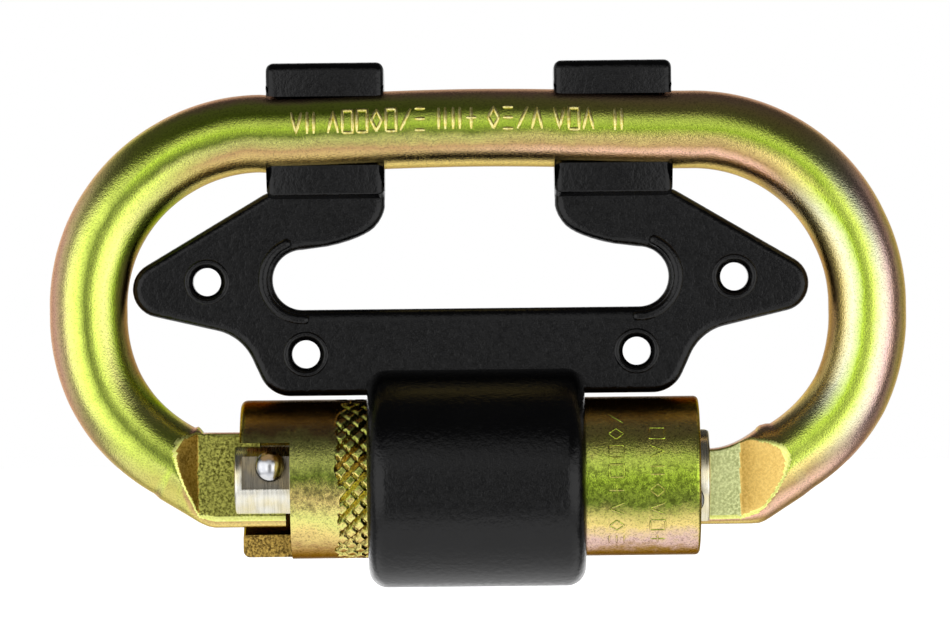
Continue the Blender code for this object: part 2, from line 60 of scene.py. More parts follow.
LATCH_LOW, LATCH_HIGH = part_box("latch_pin")

# Oval frame, as in the CAD
MIDDLE_Z = GATE_Z + 21.5 * MM
BAR_R = (FRAME_HIGH.y - FRAME_LOW.y) / 2
BOW_R = 22.1 * MM
BOW_X = 27.69 * MM
UPPER_BOW_Z = MIDDLE_Z + 0.8 * MM
LOWER_BOW_Z = MIDDLE_Z - 0.64 * MM
SPINE_CROWN = 0.5 * MM
# How far each bow stands out from its circle, as (degrees above level, mm)
HINGE_SPREAD = (
    (90, 0.0), (24, 0.0), (0, 0.2), (-12, 0.3), (-28, 0.5), (-36, 0.44), (-48, 0.27), (-57, 0.14),
)
NOSE_SPREAD = (
    (90, 0.05), (60, 0.05), (24, 0.2), (0, 0.2), (-24, 0.12), (-36, -0.06), (-48, -0.33), (-58, -0.52),
)
# Upper and lower edges of the oval's two ends, as (x, z) in mm from its middle
NOSE_TOP_EDGE = ((-36.05, -14.58), (-35.85, -14.72), (-35.6, -15.02), (-35.35, -15.36))
NOSE_OUTER_EDGE = ((-41.1, -23.84), (-39.4, -24.87))
NOSE_FOOT_EDGE = (
    (-39.4, -24.87), (-37.2, -26.2), (-35.9, -26.98), (-34.9, -27.42), (-34.0, -27.6),
)
HINGE_TOP_EDGE = ((36.7, -14.98), (36.3, -15.1), (36.0, -15.17), (35.6, -15.45))
HINGE_OUTER_EDGE = ((41.4, -24.4), (39.2, -25.8))
HINGE_FOOT_EDGE = (
    (39.2, -25.8), (37.2, -27.1), (36.5, -27.5), (35.8, -27.75), (34.8, -27.8), (28.0, -27.8),
)
TONGUE_HALF = 2.5 * MM
NOSE_FLAT_X = -36.0 * MM
NOSE_TOP_Z = MIDDLE_Z - 15.4 * MM
NOSE_BOTTOM_Z = MIDDLE_Z - 27.6 * MM
NOSE_TIP_X = -24.9 * MM
HINGE_FLAT_X = 33.35 * MM
HINGE_FACET = 5.8 * MM
HINGE_TOP_Z = MIDDLE_Z - 18.1 * MM
HINGE_BOTTOM_Z = MIDDLE_Z - 27.3 * MM
HINGE_HOLLOW_X = 29.4 * MM
HINGE_HOLLOW_RISE = 2.7 * MM
HINGE_HOLLOW_RUN = 6.4 * MM
HINGE_END_X = PIVOT_X - 3.5 * MM
LATCH_X = (LATCH_LOW.x + LATCH_HIGH.x) / 2
LATCH_Z = (LATCH_LOW.z + LATCH_HIGH.z) / 2

# Sleeve and gate
SLEEVE_R = (SLEEVE_HIGH.y - SLEEVE_LOW.y) / 2
SLEEVE_FROM, SLEEVE_TO = SLEEVE_LOW.x, SLEEVE_HIGH.x
MOUTH_R = 7.4 * MM
MOUTH_X = -21.5 * MM
SLEEVE_BORE_R = 5.35 * MM
POCKET_R = 7.5 * MM
POCKET_X = -9.5 * MM
NOTCH_X = -24.1 * MM
NOTCH_RISE = 4.9 * MM
NOTCH_BACK_Y = 1.8 * MM
KNURL_FROM, KNURL_TO = -18.6 * MM, -12.5 * MM
KNURL_DEPTH = 0.50 * MM
KNURL_COUNT = 26
KNURL_AXIAL = 2.2 * MM
GATE_R = 5.05 * MM
FLANGE_R = 6.4 * MM
FLANGE_X = 9.5 * MM
SLOT_HALF = 2.65 * MM
NOSE_SLOT_X = -24.3 * MM
HINGE_SLOT_X = 18.9 * MM
EAR_FACE_Y = -4.0 * MM
EAR_LEDGE = -1.1 * MM
RIVET_HOLE_R = 2.1 * MM
PLUNGER_BORE_R = 2.1 * MM

# Bracket
BRACKET_X = (BRACKET_LOW.x + BRACKET_HIGH.x) / 2
PLATE_HALF = 1.75 * MM
PLATE_EDGE = 1.1 * MM
COLLAR_FROM, COLLAR_TO = -14.3 * MM, 13.5 * MM
COLLAR_R = (BRACKET_HIGH.y - BRACKET_LOW.y) / 2
COLLAR_BORE_R = 10.6 * MM
COLLAR_EDGE = 2.4 * MM
CLIP_NEAR, CLIP_FAR = 10.9 * MM, 26.0 * MM
NECK_Z = MIDDLE_Z + 14.7 * MM
SLOT_LOW_Z, SLOT_HIGH_Z = MIDDLE_Z + 0.25 * MM, MIDDLE_Z + 7.95 * MM
SLOT_LENGTH_HALF = 25.4 * MM
PLATE_LOW_Z = GATE_Z + COLLAR_BORE_R + 0.1 * MM
# From the slot's upper edge up to the inner side of a clip, as (x, z) in mm from the oval's middle
PLATE_BEND = (
    (18.4, 8.35), (17.0, 8.65), (15.6, 9.05), (14.5, 9.45), (13.6, 9.85), (12.9, 10.25),
    (12.3, 10.7), (11.75, 11.35), (11.3, 12.1), (11.05, 12.7), (10.9, 13.3),
)
HOLE_R = 1.8 * MM
HOLES = ((33.8 * MM, MIDDLE_Z + 3.95 * MM), (21.2 * MM, MIDDLE_Z - 5.45 * MM))

# Camera at the photograph's viewing angle and framing
VIEW_WIDTH = 121.2 * MM  # breadth of the view at the front of the bars
CAMERA_DISTANCE = 0.75
CAMERA_AIM = Vector((-0.38 * MM, 0, MIDDLE_Z - 0.19 * MM))
CAMERA_ROLL = math.radians(-0.62)


def make_camera():
    data = bpy.data.cameras.new("camera")
    data.sensor_width = 36
    data.lens = data.sensor_width * (CAMERA_DISTANCE - BAR_R) / VIEW_WIDTH
    data.clip_start, data.clip_end = 0.01, 20
    camera = bpy.data.objects.new("camera", data)
    camera.location = CAMERA_AIM + Vector((0, -CAMERA_DISTANCE, 0))
    look = Matrix.Rotation(math.radians(90), 4, "X")
    camera.rotation_euler = (look @ Matrix.Rotation(CAMERA_ROLL, 4, "Z")).to_euler()
    bpy.context.scene.collection.objects.link(camera)
    bpy.context.scene.camera = camera


# ---------------------------------------------------------------- node helpers


class Nodes:
    """A short way to write a material's nodes."""

    def __init__(self, name):
        self.material = bpy.data.materials.new(name)
        self.material.use_nodes = True
        self.tree = self.material.node_tree
        self.shader = self.tree.nodes["Principled BSDF"]

    def put(self, socket, value):
        if isinstance(value, bpy.types.NodeSocket):
            self.tree.links.new(value, socket)
        else:
            socket.default_value = value

    def math(self, operation, *values, clamp=False):
        node = self.tree.nodes.new("ShaderNodeMath")
        node.operation = operation
        node.use_clamp = clamp
        for socket, value in zip(node.inputs, values):
            self.put(socket, value)
        return node.outputs[0]

    def noise(self, vector, scale, detail=3.0, roughness=0.55):
        node = self.tree.nodes.new("ShaderNodeTexNoise")
        self.put(node.inputs["Vector"], vector)
        node.inputs["Scale"].default_value = scale
        node.inputs["Detail"].default_value = detail
        node.inputs["Roughness"].default_value = roughness
        return node.outputs["Fac"]

    def span(self, value, low, high, to_low=0.0, to_high=1.0, smooth=True):
        node = self.tree.nodes.new("ShaderNodeMapRange")
        if smooth:
            node.interpolation_type = "SMOOTHSTEP"
        self.put(node.inputs["Value"], value)
        node.inputs["From Min"].default_value = low
        node.inputs["From Max"].default_value = high
        node.inputs["To Min"].default_value = to_low
        node.inputs["To Max"].default_value = to_high
        return node.outputs["Result"]

    def ramp(self, value, stops):
        node = self.tree.nodes.new("ShaderNodeValToRGB")
        self.put(node.inputs["Fac"], value)
        elements = node.color_ramp.elements
        while len(elements) < len(stops):
            elements.new(0.5)
        for element, (place, colour) in zip(elements, stops):
            element.position = place
            element.color = (*colour, 1)
        return node.outputs["Color"]

    def mix(self, factor, first, second, blend="MIX"):
        node = self.tree.nodes.new("ShaderNodeMix")
        node.data_type = "RGBA"
        node.blend_type = blend
        self.put(node.inputs[0], factor)
        for socket, value in ((node.inputs[6], first), (node.inputs[7], second)):
            if isinstance(value, tuple):
                value = (*value, 1)
            self.put(socket, value)
        return node.outputs[2]

    def split(self, vector):
        node = self.tree.nodes.new("ShaderNodeSeparateXYZ")
        self.put(node.inputs[0], vector)
        return node.outputs

    def bump(self, height, distance, strength=1.0, normal=None):
        node = self.tree.nodes.new("ShaderNodeBump")
        node.inputs["Strength"].default_value = strength
        node.inputs["Distance"].default_value = distance
        self.put(node.inputs["Height"], height)
        if normal is not None:
            self.put(node.inputs["Normal"], normal)
        return node.outputs["Normal"]

    def place(self):
        """Object-space place and normal, which stay with the piece as it moves."""
        node = self.tree.nodes.new("ShaderNodeTexCoord")
        return node.outputs["Object"], node.outputs["Normal"]


# ---------------------------------------------------------------- materials

# Colours that a yellow zinc plating takes by the thickness of its film
COPPER = (0.86, 0.52, 0.38)
GOLD = (0.82, 0.64, 0.22)
STRAW = (0.68, 0.68, 0.20)
LIME = (0.62, 0.74, 0.12)
GREEN = (0.42, 0.58, 0.05)
MOSS = (0.22, 0.28, 0.04)
PALE = (0.68, 0.68, 0.44)
ROSE = (0.72, 0.50, 0.44)
BRONZE = (0.44, 0.28, 0.12)
BROWN = (0.26, 0.15, 0.04)
# Each film ramp by which way a face turns: along X on the bows, down from the top on spine and sleeve.
# Besides the film's own colours, the ramps hold painted reflections (bright bands and pink rims) and painted
# shade (dark lines between the bands, dark inner edges and the sleeve's dark top).
NOSE_FILM_AND_REFLECTION = (
    (0.08, COPPER), (0.24, STRAW), (0.36, LIME), (0.48, MOSS),
    (0.58, LIME), (0.72, STRAW), (0.84, GREEN), (0.96, BRONZE),
)
HINGE_FILM_AND_REFLECTION = (
    (0.06, BRONZE), (0.14, GOLD), (0.28, PALE), (0.42, GREEN),
    (0.54, LIME), (0.66, PALE), (0.77, ROSE), (0.85, COPPER), (0.93, GOLD),
)
SPINE_NOSE_FILM_AND_REFLECTION = (
    (0.06, COPPER), (0.16, LIME), (0.27, GREEN), (0.35, LIME),
    (0.46, GREEN), (0.55, MOSS), (0.63, STRAW), (0.74, BRONZE), (0.92, GOLD),
)
SPINE_HINGE_FILM_AND_REFLECTION = (
    (0.06, COPPER), (0.20, GOLD), (0.36, LIME), (0.50, GREEN),
    (0.62, GOLD), (0.72, BRONZE), (0.80, COPPER), (0.88, BRONZE), (0.96, GOLD),
)
SLEEVE_NOSE_FILM_AND_REFLECTION = (
    (0.05, BROWN), (0.16, BRONZE), (0.26, STRAW), (0.48, MOSS),
    (0.62, GOLD), (0.74, STRAW), (0.84, GOLD), (0.95, BRONZE),
)
SLEEVE_HINGE_FILM_AND_REFLECTION = (
    (0.05, BROWN), (0.18, GOLD), (0.36, LIME), (0.50, GREEN),
    (0.66, MOSS), (0.80, GOLD), (0.90, ROSE), (0.96, BRONZE),
)


def shaken(n, value, noise, amount):
    """The value, moved up and down by a noise."""
    return n.math("ADD", value, n.math("MULTIPLY", n.math("SUBTRACT", noise, 0.5), amount))


def weighted(n, share, first, second):
    """The first value where the share is 0, and the second where it is 1."""
    rest = n.math("SUBTRACT", 1.0, share)
    return n.math("ADD", n.math("MULTIPLY", second, share), n.math("MULTIPLY", first, rest))


def plating_and_reflection(n, point, normal):
    """Colour of the plated frame by which way each face turns, the film's own colours with painted
    reflections and painted shade, and the streaks in it.
    """
    x, _, z = n.split(point)
    nx, _, nz = n.split(normal)
    cloud = n.noise(point, 110, 4)
    streak = n.noise(point, 520, 4, 0.65)
    across = shaken(n, shaken(n, n.span(nx, -1, 1, smooth=False), cloud, 0.10), streak, 0.07)
    down = shaken(n, shaken(n, n.span(nz, 1, -1, smooth=False), cloud, 0.10), streak, 0.07)
    side = n.span(shaken(n, x, cloud, 0.03), -0.016, 0.030)
    # Painted reflections and painted shade: each ramp colours a face by which way it turns, over the film's
    # own colours.
    bows = n.mix(side, n.ramp(across, NOSE_FILM_AND_REFLECTION), n.ramp(across, HINGE_FILM_AND_REFLECTION))
    spine = n.mix(side, n.ramp(down, SPINE_NOSE_FILM_AND_REFLECTION), n.ramp(down, SPINE_HINGE_FILM_AND_REFLECTION))
    steep, level = n.math("MULTIPLY", nx, nx), n.math("MULTIPLY", nz, nz)
    share = n.math("DIVIDE", level, n.math("ADD", n.math("ADD", steep, level), 0.0001))
    # The flattest part of a face has no clear turn, so its place decides
    high = n.span(z, MIDDLE_Z + 10 * MM, MIDDLE_Z + 19 * MM)
    certain = n.span(n.math("ADD", steep, level), 0.0, 0.06)
    share = weighted(n, certain, high, share)
    towards_nose = n.span(share, 0.50, 0.96)
    towards_hinge = n.span(share, 0.25, 0.80)
    half = n.span(x, -6 * MM, 6 * MM)
    return n.mix(weighted(n, half, towards_nose, towards_hinge), bows, spine), streak


def grey(value):
    return value, value, value


def shade(n, colour, value):
    """Darkens or lightens a colour by a value from 0 to 1 and a little over."""
    return n.mix(1.0, colour, n.ramp(value, ((0.0, grey(0)), (1.0, grey(1)))), "MULTIPLY")


def metal(n, colour, roughness, normal):
    """Finishes a material as bare or plated metal."""
    n.put(n.shader.inputs["Base Color"], colour)
    n.put(n.shader.inputs["Roughness"], roughness)
    n.put(n.shader.inputs["Normal"], normal)
    n.shader.inputs["Metallic"].default_value = 1.0
    return n.material


def zinc(name):
    """Yellow zinc-plated forged bar, with a fine grain; its colour by face direction holds painted
    reflections and painted shade.
    """
    n = Nodes(name)
    point, normal = n.place()
    colour, streak = plating_and_reflection(n, point, normal)
    speck = n.noise(point, 4200, 2, 0.75)
    colour = shade(n, colour, n.span(speck, 0.30, 0.55, 0.66, 1.0))
    n.shader.inputs["Specular Tint"].default_value = (0.50, 0.42, 0.32, 1)
    grain = n.bump(n.noise(point, 300, 2), 0.00006, 0.25, n.bump(speck, 0.000055, 0.7))
    return metal(n, colour, n.span(streak, 0.3, 0.7, 0.12, 0.20), grain)


def milled_zinc(name, low, high, grain):
    """The milled flats: matt, with a coarse sparkling grain."""
    n = Nodes(name)
    point, _ = n.place()
    speck = n.noise(point, 2900, 3, 0.8)
    cloud = n.noise(point, 240, 3)
    colour = n.mix(n.span(speck, 0.36, 0.66), low, high)
    colour = n.mix(n.span(cloud, 0.35, 0.7, 0.0, 0.35), colour, n.mix(0.5, low, high))
    return metal(n, colour, n.span(speck, 0.3, 0.7, 0.28, 0.46), n.bump(speck, 0.000045, grain))


def sleeve_zinc(name):
    """The turned sleeve: gold with green and rose bands by which way each face turns, partly the film's own
    colours and partly painted reflections, with painted shade towards its top and painted dark blotches on
    faces turned about level and a little downwards.
    """
    n = Nodes(name)
    point, normal = n.place()
    x, _, _ = n.split(point)
    nx, _, nz = n.split(normal)
    cloud = n.noise(point, 170, 3)
    streak = n.noise(point, 800, 4, 0.7)
    speck = n.noise(point, 3600, 2, 0.75)
    down = shaken(n, shaken(n, n.span(nz, 1, -1, smooth=False), cloud, 0.16), streak, 0.14)
    side = n.span(shaken(n, x, n.noise(point, 90, 3), 0.03), -0.018, 0.016)
    # These ramps paint reflections and shade, dark towards the top, over the film's own colours.
    colour = n.mix(side, n.ramp(down, SLEEVE_NOSE_FILM_AND_REFLECTION), n.ramp(down, SLEEVE_HINGE_FILM_AND_REFLECTION))
    ends = n.span(n.math("ABSOLUTE", nx), 0.35, 0.8)
    colour = n.mix(ends, colour, (0.56, 0.44, 0.12))
    blotch = n.span(n.noise(point, 1300, 3, 0.7), 0.36, 0.58)
    # Painted shade: dark blotches only on faces turned about level and a little downwards, where the light
    # changes across the grain.
    painted_shade_mottling = n.math("MULTIPLY", n.span(nz, 0.30, 0.10), n.span(nz, -0.50, -0.36))
    spots = n.math("SUBTRACT", 0.5, n.math("MULTIPLY", blotch, 0.5))
    colour = shade(n, colour, n.math("SUBTRACT", 1.0, n.math("MULTIPLY", painted_shade_mottling, spots)))
    colour = shade(n, colour, n.span(speck, 0.30, 0.55, 0.55, 1.0))
    n.shader.inputs["Specular Tint"].default_value = (0.30, 0.22, 0.12, 1)
    grain = n.bump(streak, 0.00006, 0.35, n.bump(speck, 0.000060, 0.7))
    return metal(n, colour, n.span(streak, 0.3, 0.7, 0.13, 0.24), grain)


def turned_steel(name, pale, warm, roughness):
    """Bare turned steel with fine rings across the X axis."""
    n = Nodes(name)
    point, _ = n.place()
    stretch = n.tree.nodes.new("ShaderNodeMapping")
    n.put(stretch.inputs["Vector"], point)
    stretch.inputs["Scale"].default_value = (1, 0.04, 0.04)
    rings = n.noise(stretch.outputs[0], 5200, 3, 0.7)
    cloud = n.noise(point, 260, 3)
    colour = n.mix(n.span(cloud, 0.35, 0.65), pale, warm)
    colour = shade(n, colour, n.span(rings, 0.3, 0.7, 0.72, 1.0))
    gloss = n.span(rings, 0.3, 0.7, roughness - 0.07, roughness + 0.08)
    return metal(n, colour, gloss, n.bump(rings, 0.00004, 0.35))


def chrome(name):
    """Polished metal, slightly clouded."""
    n = Nodes(name)
    point, _ = n.place()
    cloud = n.noise(point, 900, 3)
    colour = n.mix(n.span(cloud, 0.3, 0.7), (0.62, 0.62, 0.62), (0.48, 0.49, 0.52))
    grain = n.bump(n.noise(point, 3000, 2), 0.00002, 0.2)
    return metal(n, colour, n.span(cloud, 0.3, 0.7, 0.14, 0.26), grain)


def moulded_plastic(name):
    """Black moulded plastic: fine spark-eroded texture, with slightly greyer rubbed places."""
    n = Nodes(name)
    point, _ = n.place()
    grain = n.noise(point, 1500, 3, 0.6)
    fine = n.noise(point, 4200, 2, 0.6)
    broad = n.noise(point, 120, 3)
    rub = n.span(broad, 0.45, 0.75)
    colour = n.mix(rub, (0.0008, 0.0008, 0.0010), (0.0020, 0.0020, 0.0024))
    n.put(n.shader.inputs["Base Color"], colour)
    n.put(n.shader.inputs["Roughness"], n.span(grain, 0.3, 0.7, 0.14, 0.26))
    n.shader.inputs["Specular IOR Level"].default_value = 0.27
    n.put(n.shader.inputs["Normal"], n.bump(grain, 0.00012, 0.55, n.bump(fine, 0.00004, 0.5)))
    return n.material


def floor_material(name):
    """White paper, lit enough to stay pale under the object."""
    n = Nodes(name)
    point, _ = n.place()
    paper = n.noise(point, 60, 2)
    n.put(n.shader.inputs["Base Color"], n.mix(paper, (0.80, 0.80, 0.80), (0.84, 0.84, 0.84)))
    n.shader.inputs["Roughness"].default_value = 0.9
    n.shader.inputs["Emission Color"].default_value = (1, 1, 1, 1)
    n.shader.inputs["Emission Strength"].default_value = 0.95
    return n.material


# ---------------------------------------------------------------- mesh helpers


def new_mesh_object(name, points, faces):
    mesh = bpy.data.meshes.new(name)
    mesh.from_pydata([tuple(p) for p in points], [], faces)
    mesh.validate()
    obj = bpy.data.objects.new(name, mesh)
    bpy.context.scene.collection.objects.link(obj)
    return obj


def face_out(obj):
    bm = bmesh.new()
    bm.from_mesh(obj.data)
    bmesh.ops.remove_doubles(bm, verts=bm.verts, dist=1e-7)
    bmesh.ops.recalc_face_normals(bm, faces=bm.faces)
    bm.to_mesh(obj.data)
    bm.free()


def smooth(obj, angle=35):
    obj.data.shade_smooth()
    obj.data.set_sharp_from_angle(angle=math.radians(angle))


def loft(name, rings, capped=True, closed=False):
    """Rings of points joined by quads, with flat caps at the ends or joined end to end."""
    rings = np.asarray(rings, float)
    count, around = rings.shape[:2]
    faces = []
    for i in range(count if closed else count - 1):
        j = (i + 1) % count
        for k in range(around):
            m = (k + 1) % around
            faces.append((i * around + k, i * around + m, j * around + m, j * around + k))
    if capped and not closed:
        faces.append(tuple(range(around)))
        last = (count - 1) * around
        faces.append(tuple(last + k for k in reversed(range(around))))
    obj = new_mesh_object(name, rings.reshape(-1, 3), faces)
    face_out(obj)
    return obj


def turned(name, profile, columns, axis_z, closed=True, radius_at=None):
    """A profile of (x, r) points turned round the X axis at the height axis_z."""
    angles = np.linspace(0, 2 * math.pi, columns, endpoint=False)
    rings = []
    for x, r in profile:
        radii = np.full(columns, r)
        if radius_at is not None:
            radii = radius_at(x, radii, angles)
        y, z = radii * np.cos(angles), axis_z + radii * np.sin(angles)
        rings.append(np.stack([np.full(columns, x), y, z], 1))
    return loft(name, rings, capped=not closed, closed=closed)


def arc(centre, radius, start, end, steps):
    points = []
    for i in range(steps + 1):
        angle = math.radians(start + (end - start) * i / steps)
        points.append((centre[0] + radius * math.cos(angle), centre[1] + radius * math.sin(angle)))
    return points


def rounded(corners, steps=10):
    """The outline through corners of (x, y, radius), each corner turned into an arc."""
    points = []
    for i, (x, y, radius) in enumerate(corners):
        corner = Vector((x, y))
        if not radius:
            points.append(corner)
            continue
        before = (Vector(corners[i - 1][:2]) - corner).normalized()
        after = (Vector(corners[(i + 1) % len(corners)][:2]) - corner).normalized()
        half = before.angle(after) / 2
        centre = corner + (before + after).normalized() * radius / math.sin(half)
        first = corner + before * radius / math.tan(half) - centre
        last = corner + after * radius / math.tan(half) - centre
        start = math.atan2(first.y, first.x)
        sweep = (math.atan2(last.y, last.x) - start + math.pi) % (2 * math.pi) - math.pi
        for k in range(steps + 1):
            angle = start + sweep * k / steps
            points.append(centre + radius * Vector((math.cos(angle), math.sin(angle))))
    return [tuple(point) for point in points]


def prism(name, outline, half, x):
    """A closed (y, z) outline made 2 * half long, with its middle at x."""
    curve = bpy.data.curves.new(name, "CURVE")
    curve.dimensions = "2D"
    curve.fill_mode = "BOTH"
    curve.extrude = half
    spline = curve.splines.new("POLY")
    spline.points.add(len(outline) - 1)
    for point, (across, up) in zip(spline.points, outline):
        point.co = (across, up, 0, 1)
    spline.use_cyclic_u = True
    obj = bpy.data.objects.new(name, curve)
    bpy.context.scene.collection.objects.link(obj)
    turn = Matrix.Rotation(math.radians(90), 4, "Z") @ Matrix.Rotation(math.radians(90), 4, "X")
    obj.matrix_world = turn @ Matrix.Translation((0, 0, x))
    return baked(obj)


def baked(obj):
    """The object's evaluated mesh as a plain mesh object whose points are in the row frame."""
    bpy.context.view_layer.update()
    graph = bpy.context.evaluated_depsgraph_get()
    mesh = bpy.data.meshes.new_from_object(obj.evaluated_get(graph))
    mesh.transform(obj.matrix_world)
    name = obj.name
    bpy.data.objects.remove(obj, do_unlink=True)
    result = bpy.data.objects.new(name, mesh)
    bpy.context.scene.collection.objects.link(result)
    face_out(result)
    return result


def boolean(target, operation, tools):
    """Applies the Booleans in turn and removes the tools."""
    for tool in tools:
        modifier = target.modifiers.new("boolean", "BOOLEAN")
        modifier.operation = operation
        modifier.object = tool
    result = baked(target)
    for tool in tools:
        bpy.data.objects.remove(tool, do_unlink=True)
    return result


def box(name, low, high):
    corners = list(itertools.product(*zip(low, high)))
    faces = [(0, 1, 3, 2), (4, 6, 7, 5), (0, 4, 5, 1), (2, 3, 7, 6), (0, 2, 6, 4), (1, 5, 7, 3)]
    obj = new_mesh_object(name, corners, faces)
    face_out(obj)
    return obj


def rod(name, radius, start, end, steps=48):
    """A straight cylinder between two points."""
    start, end = Vector(start), Vector(end)
    along = (end - start).normalized()
    across = along.orthogonal().normalized()
    other = along.cross(across)
    rings = []
    for centre in (start, end):
        angles = [2 * math.pi * k / steps for k in range(steps)]
        rings.append([centre + radius * (math.cos(a) * across + math.sin(a) * other) for a in angles])
    return loft(name, rings)


def finish_piece(obj, body, slot, node, *materials):
    obj.data.materials.clear()
    for material in materials:
        obj.data.materials.append(material)
    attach(obj, body)
    if node:
        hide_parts(node)
    return obj


# ---------------------------------------------------------------- the forged frame


def soft_least(a, b, blend):
    """The lesser of two values, with a rounded change-over."""
    share = np.clip(0.5 + 0.5 * (b - a) / blend, 0, 1)
    return b + (a - b) * share - blend * share * (1 - share)


def hollow_z(x):
    """Height of the hollow that runs up from the hinge tongue to the bow."""
    return HINGE_TOP_Z + HINGE_HOLLOW_RISE * ((x - HINGE_HOLLOW_X) / HINGE_HOLLOW_RUN) ** 2


def spine_z(x):
    """Height of the spine's axis, which is crowned a little."""
    return UPPER_BOW_Z + BOW_R + SPINE_CROWN * (1 + math.cos(math.pi * x / BOW_X)) / 2


def blend(value, low, high):
    """0 below low, 1 above high, and a smooth step between."""
    share = min(1.0, max(0.0, (value - low) / (high - low)))
    return share * share * (3 - 2 * share)


def polar(side, centre_z, radius, angle):
    """The point of a bow at an angle above level, side being -1 for the nose and 1 for the hinge."""
    across = radius * math.cos(math.radians(angle))
    return side * (BOW_X + across), centre_z + radius * math.sin(math.radians(angle))


def bow_stations(side, angles):
    """Sections square to a bow, which stands out a little from its circle."""
    spread = HINGE_SPREAD if side > 0 else NOSE_SPREAD
    places, amounts = zip(*spread)
    stations = []
    for angle in angles:
        radius = BOW_R + float(np.interp(-angle, [-place for place in places], amounts)) * MM
        centre_z = UPPER_BOW_Z if angle > 0 else LOWER_BOW_Z
        inner = polar(side, centre_z, radius - BAR_R, angle)
        outer = polar(side, centre_z, radius + BAR_R, angle)
        stations.append((inner, outer, 0))
    return stations


def between(path, steps, power=1.0):
    """Points at even steps of the distance along a path of (x, z) points."""
    path = np.asarray(path, float)
    gone = np.concatenate([[0], np.cumsum(np.hypot(*np.diff(path, axis=0).T))])
    at = gone[-1] * np.linspace(0, 1, steps + 1) ** power
    return list(zip(np.interp(at, gone, path[:, 0]), np.interp(at, gone, path[:, 1])))


def placed(edge):
    return [(x * MM, MIDDLE_Z + z * MM) for x, z in edge]


def frame_stations():
    """(inner edge, outer edge, squareness) of each section from the nose tip to the hinge end."""
    nose = bow_stations(-1, np.linspace(-58, 0, 52, endpoint=False))
    nub_inner = between([nose[0][0]] + placed(NOSE_TOP_EDGE[:1]), 12)
    nub_outer = between([nose[0][1]] + placed(NOSE_OUTER_EDGE), 12)
    top = placed(NOSE_TOP_EDGE) + [(NOSE_TIP_X, NOSE_TOP_Z)]
    foot = placed(NOSE_FOOT_EDGE) + [(NOSE_TIP_X, NOSE_BOTTOM_Z)]
    tongue = list(zip(between(top, 60, 1.25), between(foot, 60)))
    stations = [(inner, outer, blend(i, 2, 20)) for i, (inner, outer) in enumerate(tongue)][::-1]
    stations += [(inner, outer, 0) for inner, outer in zip(nub_inner[-2:0:-1], nub_outer[-2:0:-1])]
    stations += nose
    stations += bow_stations(-1, np.linspace(0, 90, 76)[1:])
    for x in np.linspace(-BOW_X, BOW_X, 92)[1:-1]:
        z = spine_z(x)
        stations.append(((x, z - BAR_R), (x, z + BAR_R), 0))
    stations += bow_stations(1, np.linspace(90, 0, 76))
    hinge = bow_stations(1, np.linspace(0, -56, 50)[1:])
    stations += hinge
    inner = between([hinge[-1][0]] + placed(HINGE_TOP_EDGE[:1]), 10)
    outer = between([hinge[-1][1]] + placed(HINGE_OUTER_EDGE), 10)
    stations += [(i, o, 0) for i, o in zip(inner[1:-1], outer[1:-1])]
    top = placed(HINGE_TOP_EDGE)
    for step in range(12):
        x = HINGE_HOLLOW_X + HINGE_HOLLOW_RUN * (11.4 - step) / 12
        top.append((x, hollow_z(x)))
    top += [(HINGE_HOLLOW_X, HINGE_TOP_Z), (HINGE_END_X, HINGE_TOP_Z)]
    foot = placed(HINGE_FOOT_EDGE) + [(HINGE_END_X, HINGE_BOTTOM_Z)]
    tongue = list(zip(between(top, 70, 1.15), between(foot, 70)))
    stations += [(i, o, blend(k, 6, 30)) for k, (i, o) in enumerate(tongue)]
    return stations


def facet_limit(x, z):
    """Half thickness that the flats and the sloping facets leave at a place."""
    slope = BAR_R - TONGUE_HALF
    nose_run = np.interp(z - MIDDLE_Z, [-24 * MM, -16 * MM], [1.7 * MM, 3.3 * MM])
    nose = TONGUE_HALF + slope * np.maximum(0, NOSE_FLAT_X - x) / nose_run
    hinge = TONGUE_HALF + slope * np.maximum(0, x - HINGE_FLAT_X) / HINGE_FACET
    limit = np.where(x < 0, nose, hinge)
    return np.where(z < MIDDLE_Z - 8 * MM, limit, 4 * BAR_R)


